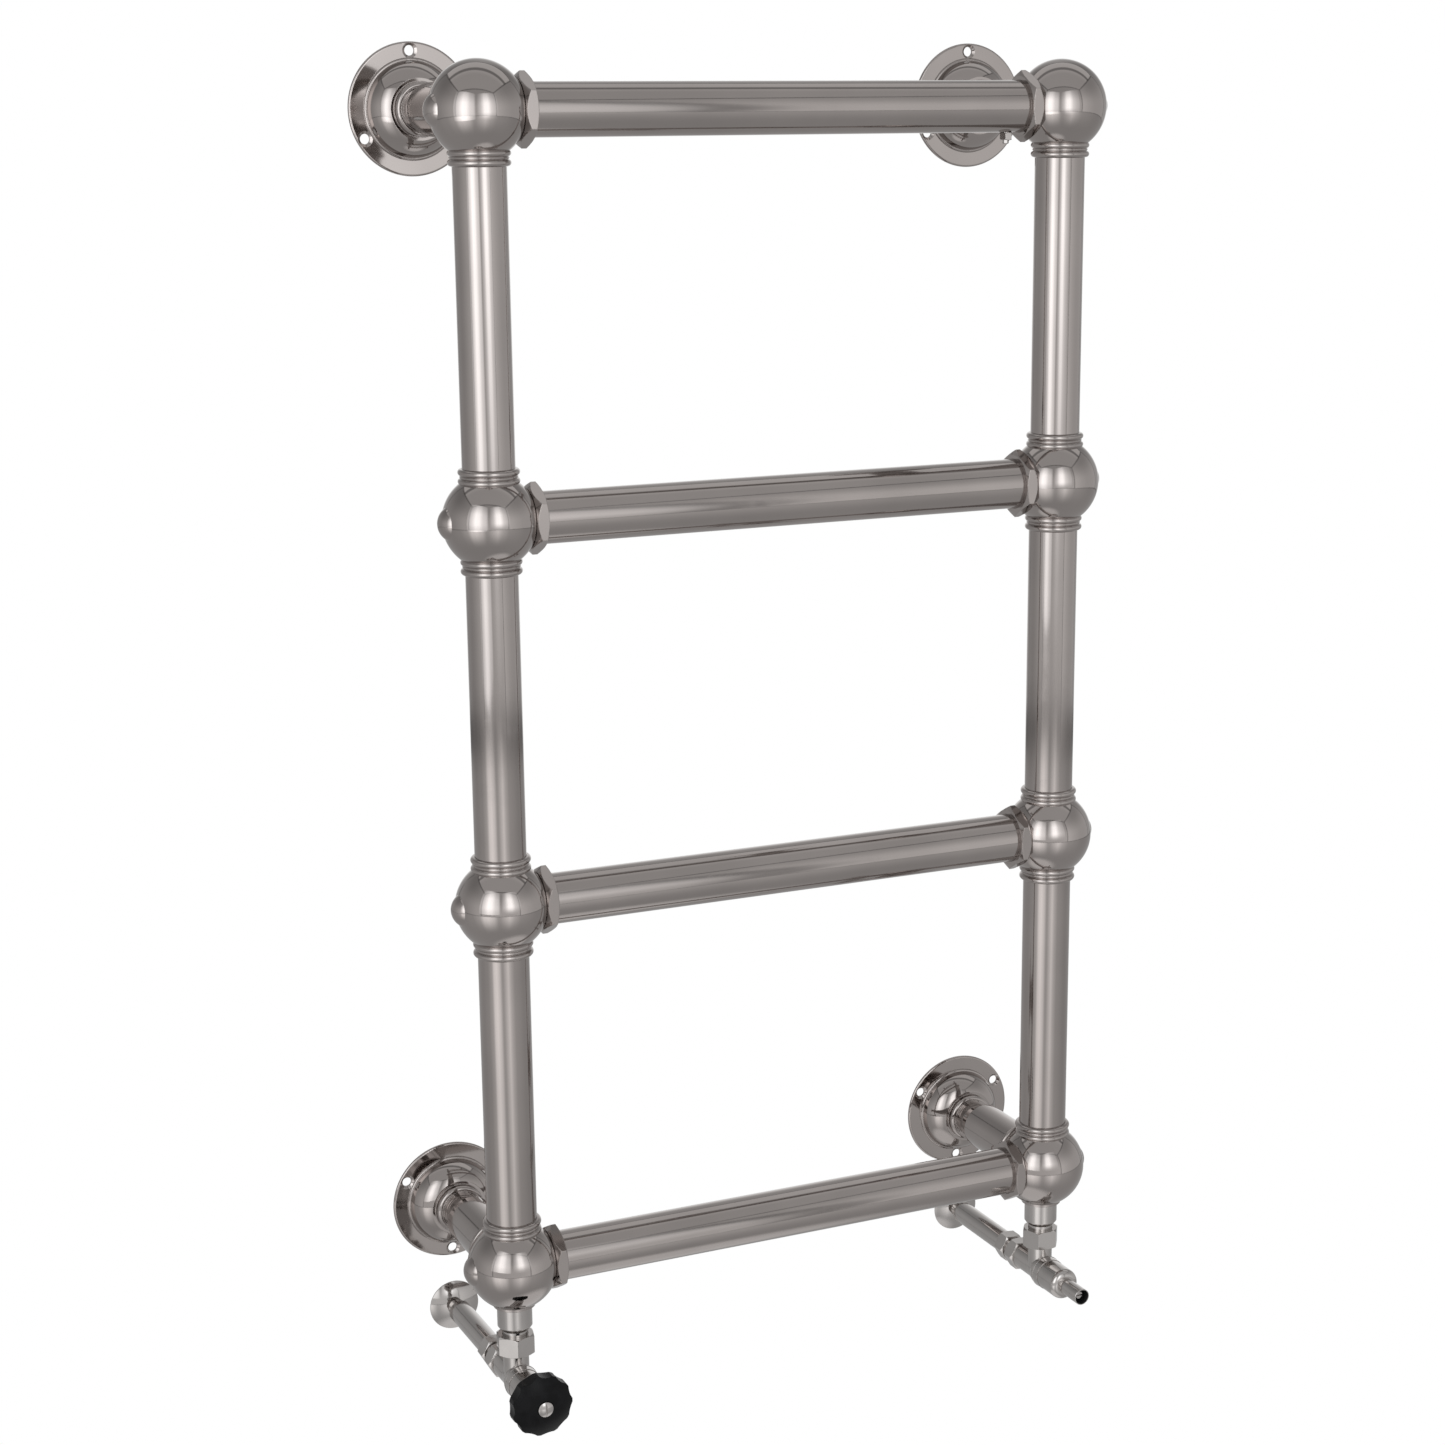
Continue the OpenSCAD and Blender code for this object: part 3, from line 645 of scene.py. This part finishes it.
# brightness of the room's walls and floor by the angle from the camera, in degrees to the right
WALLS = (
    (-180, 1.0), (-170, 0.90), (-160, 0.75), (-150, 0.62), (-128, 0.56), (-100, 0.56), (-88, 0.61), (-72, 0.73),
    (-56, 0.88), (-46, 0.92), (0, 0.92), (46, 1.0), (54, 1.10), (64, 1.0), (72, 0.92), (88, 0.82), (100, 0.80),
    (128, 0.78), (142, 0.60), (152, 0.62), (160, 0.72), (170, 0.90), (180, 1.0),
)
FLOORS = (
    (-180, 0.55), (-110, 0.55), (-70, 0.65), (-50, 0.95), (-40, 1.75), (-28, 1.95), (-14, 1.5), (-4, 0.85), (2, 0.85),
    (12, 1.2), (24, 1.6), (36, 1.1), (52, 0.75), (90, 0.60), (180, 0.55),
)


class RADIATOR_OT_build_stage(bpy.types.Operator):
    """Pale floor, soft studio room, two softboxes and the camera"""

    bl_idname = "radiator.build_stage"
    bl_label = "Build Stage"

    def execute(self, context):
        s = context.scene.radiator_stage
        scene = context.scene
        low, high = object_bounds()
        middle = Vector(((low.x + high.x) / 2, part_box("post_left_1")[0].y + 0.021, 0.0))

        self.make_floor(s, low, middle)
        right, up, forward = view_axes(s.camera_turn, s.camera_tilt, s.camera_roll)
        self.light_room(scene, s, forward)

        # softboxes on either side of the camera, on the same stands
        for name, turn, across, upward in (
            ("Softbox left", s.softbox_turn_left, LEFT_ACROSS, LEFT_UPWARD),
            ("Softbox right", s.softbox_turn_right, RIGHT_ACROSS, RIGHT_UPWARD),
        ):
            angle = s.camera_turn - turn
            away = Vector((-math.sin(angle), -math.cos(angle), 0.0))
            place = middle + away * s.lamp_distance
            height = s.softbox_low + s.softbox_height / 2
            softbox(name, (place.x, place.y, height), (middle.x, middle.y, height),
                    s.softbox_width, s.softbox_height, s.softbox, across, upward)

        camera = bpy.data.cameras.new("Camera")
        camera.sensor_width = 36.0
        camera.lens = s.lens
        camera.shift_x = s.shift_x
        camera.shift_y = s.shift_y
        camera.clip_start = 0.05
        camera.clip_end = 60.0
        holder = bpy.data.objects.new("Camera", camera)
        turn = Matrix((
            (right.x, up.x, -forward.x),
            (right.y, up.y, -forward.y),
            (right.z, up.z, -forward.z),
        ))
        holder.matrix_world = Matrix.Translation(Vector(s.camera_place)) @ turn.to_4x4()
        scene.collection.objects.link(holder)
        scene.camera = holder
        scene.view_settings.view_transform = "Standard"
        return {"FINISHED"}

    def make_floor(self, s, low, middle):
        """A round white floor that fades out towards its rim."""
        mesh = bpy.data.meshes.new("Floor")
        steps = 96
        points = [(0.0, 0.0, 0.0)]
        for i in range(steps):
            a = 2 * math.pi * i / steps
            points.append((s.floor_radius * math.cos(a), s.floor_radius * math.sin(a), 0.0))
        mesh.from_pydata(points, [], [(0, i + 1, (i + 1) % steps + 1) for i in range(steps)])
        mesh.update()
        floor = bpy.data.objects.new("Floor", mesh)
        floor.location = (middle.x, middle.y, low.z - s.floor_drop)
        bpy.context.scene.collection.objects.link(floor)
        material, f = new_material("Pale floor")
        place = f.coordinates()
        reach = f.out(f.node("ShaderNodeVectorMath", {"operation": "LENGTH"}, {0: place}), "Value")
        cloud = f.noise(place, 5.0, 3.0, 0.5)
        plain = f.node("ShaderNodeBsdfPrincipled", None, {
            "Base Color": f.blend(cloud, rgba(s.floor_colour, 0.985), rgba(s.floor_colour, 1.0)),
            "Roughness": 0.55 + cloud * 0.1,
            "Specular IOR Level": 0.3,
        })
        white = f.node("ShaderNodeEmission", None, {"Color": (1.0, 1.0, 1.0, 1.0), "Strength": 1.0})
        path = f.node("ShaderNodeLightPath")
        seen = f.larger(f.out(path, "Is Camera Ray"), f.larger(f.out(path, "Is Glossy Ray"), f.out(path, "Is Transmission Ray")))
        shown = f.join(seen * 0.6, plain, white)
        faded = f.join(f.smooth(reach, s.floor_radius * 0.45, s.floor_radius * 0.98), shown, f.node("ShaderNodeBsdfTransparent"))
        output = f.node("ShaderNodeOutputMaterial")
        f.tree.links.new(faded.outputs[0], output.inputs["Surface"])
        mesh.materials.append(material)
        floor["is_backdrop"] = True

    def near(self, f, ratio):
        """One where two faces of the room are equally near."""
        return f.smooth(f.smaller(ratio, 1.0 / ratio), 0.945, 0.985)

    def light_room(self, scene, s, forward):
        """A plain grey room with a white backdrop behind the radiator and darker seams in its corners."""
        world = bpy.data.worlds.new("Studio room")
        scene.world = world
        f = Finish(world)
        way = f.coordinates("Generated")
        flat = Vector((forward.x, forward.y, 0.0)).normalized()
        ahead = f.dot(way, flat)
        right = f.dot(way, Vector((flat.y, -flat.x, 0.0)))
        rise = f.dot(way, (0.0, 0.0, 1.0))
        turn = f.out(f.node("ShaderNodeMath", {"operation": "ARCTAN2"}, {0: right, 1: -ahead})) * (180 / math.pi)

        # which face of the room lies in each direction, and the seams between the faces
        to_side = f.larger(right / 2.86, -right / 2.48)
        to_end = f.larger(ahead / 2.4, -ahead / 2.4)
        around = f.larger(to_side, to_end)
        high = rise / 2.6 / around
        deep = -rise / (0.226 * (1.0 - rise * rise) ** 0.5)
        over = f.smooth(high, 0.98, 1.02)
        under = f.smooth(deep, 0.98, 1.03)
        corner = self.near(f, to_side / to_end) * (1.0 - over) * (1.0 - under)
        seam = f.larger(corner, f.larger(self.near(f, high), self.near(f, deep)))

        walls = f.levels(turn, WALLS) * (1.0 - 0.35 * f.smooth(rise, 0.05, 0.62))
        behind = f.smooth(ahead, -0.1, 0.3)
        lean = ahead / f.larger(rise, 0.1)
        slot = f.smooth(lean, 0.12, 0.20) * (1.0 - f.smooth(lean, 0.30, 0.38)) * f.smooth(rise, 0.3, 0.5)
        ceiling = (0.70 + behind * 0.22) * (1.0 - 0.6 * slot)
        bright = f.smooth(rise, -0.85, -0.2) * (1.0 - behind)
        floors = 0.55 + (f.levels(turn, FLOORS) - 0.55) * bright
        room = walls + (ceiling - walls) * over
        room = (room + (floors - room) * under) * (1.0 - seam * s.seam)

        # the backdrop stands behind the radiator, as wide as the camera sees
        screen = f.smooth(ahead, 0.875, 0.995) * f.smooth(rise, -0.55, -0.48)
        behind_level = s.backdrop * (1.0 - 0.2 * f.smooth(rise, 0.14, 0.38))
        room = room * s.room
        lit = room + (behind_level - room) * screen
        path = f.node("ShaderNodeLightPath")
        seen = f.larger(f.out(path, "Is Camera Ray"), f.out(path, "Is Transmission Ray"))
        level = lit + (s.backdrop - lit) * seen
        glow = f.node("ShaderNodeBackground", None, {"Color": (1.0, 1.0, 1.0, 1.0), "Strength": level})
        output = f.node("ShaderNodeOutputWorld")
        f.tree.links.new(glow.outputs[0], output.inputs[0])
        world.cycles.sampling_method = "MANUAL"
        world.cycles.sample_map_resolution = s.lobe_samples


STEPS = (
    RADIATOR_OT_finish_tubes,
    RADIATOR_OT_finish_balls,
    RADIATOR_OT_finish_rail_nuts,
    RADIATOR_OT_finish_flanges,
    RADIATOR_OT_finish_valves,
    RADIATOR_OT_finish_pipe_covers,
    RADIATOR_OT_finish_handwheel,
    RADIATOR_OT_finish_inner_parts,
    RADIATOR_OT_build_stage,
)


class RADIATOR_PT_panel(bpy.types.Panel):
    """Lists the radiator's finishes and its stage"""

    bl_idname = "RADIATOR_PT_panel"
    bl_label = "Towel Radiator"
    bl_space_type = "VIEW_3D"
    bl_region_type = "UI"
    bl_category = "Radiator"

    def draw(self, context):
        layout = self.layout
        for group in (context.scene.radiator_finishes, context.scene.radiator_stage):
            column = layout.column()
            for name in group.__annotations__:
                column.prop(group, name)
        for step in STEPS:
            layout.operator(step.bl_idname)


CLASSES = (RadiatorFinishes, RadiatorStage, *STEPS, RADIATOR_PT_panel)


def register():
    for cls in CLASSES:
        bpy.utils.register_class(cls)
    bpy.types.Scene.radiator_finishes = PointerProperty(type=RadiatorFinishes)
    bpy.types.Scene.radiator_stage = PointerProperty(type=RadiatorStage)


def unregister():
    del bpy.types.Scene.radiator_stage
    del bpy.types.Scene.radiator_finishes
    for cls in reversed(CLASSES):
        bpy.utils.unregister_class(cls)


def main():
    register()
    bpy.ops.radiator.finish_tubes()
    bpy.ops.radiator.finish_balls()
    bpy.ops.radiator.finish_rail_nuts()
    bpy.ops.radiator.finish_flanges()
    bpy.ops.radiator.finish_valves()
    bpy.ops.radiator.finish_pipe_covers()
    bpy.ops.radiator.finish_handwheel()
    bpy.ops.radiator.finish_inner_parts()
    bpy.ops.radiator.build_stage()
    bpy.context.view_layer.update()


if __name__ == "__main__":
    main()
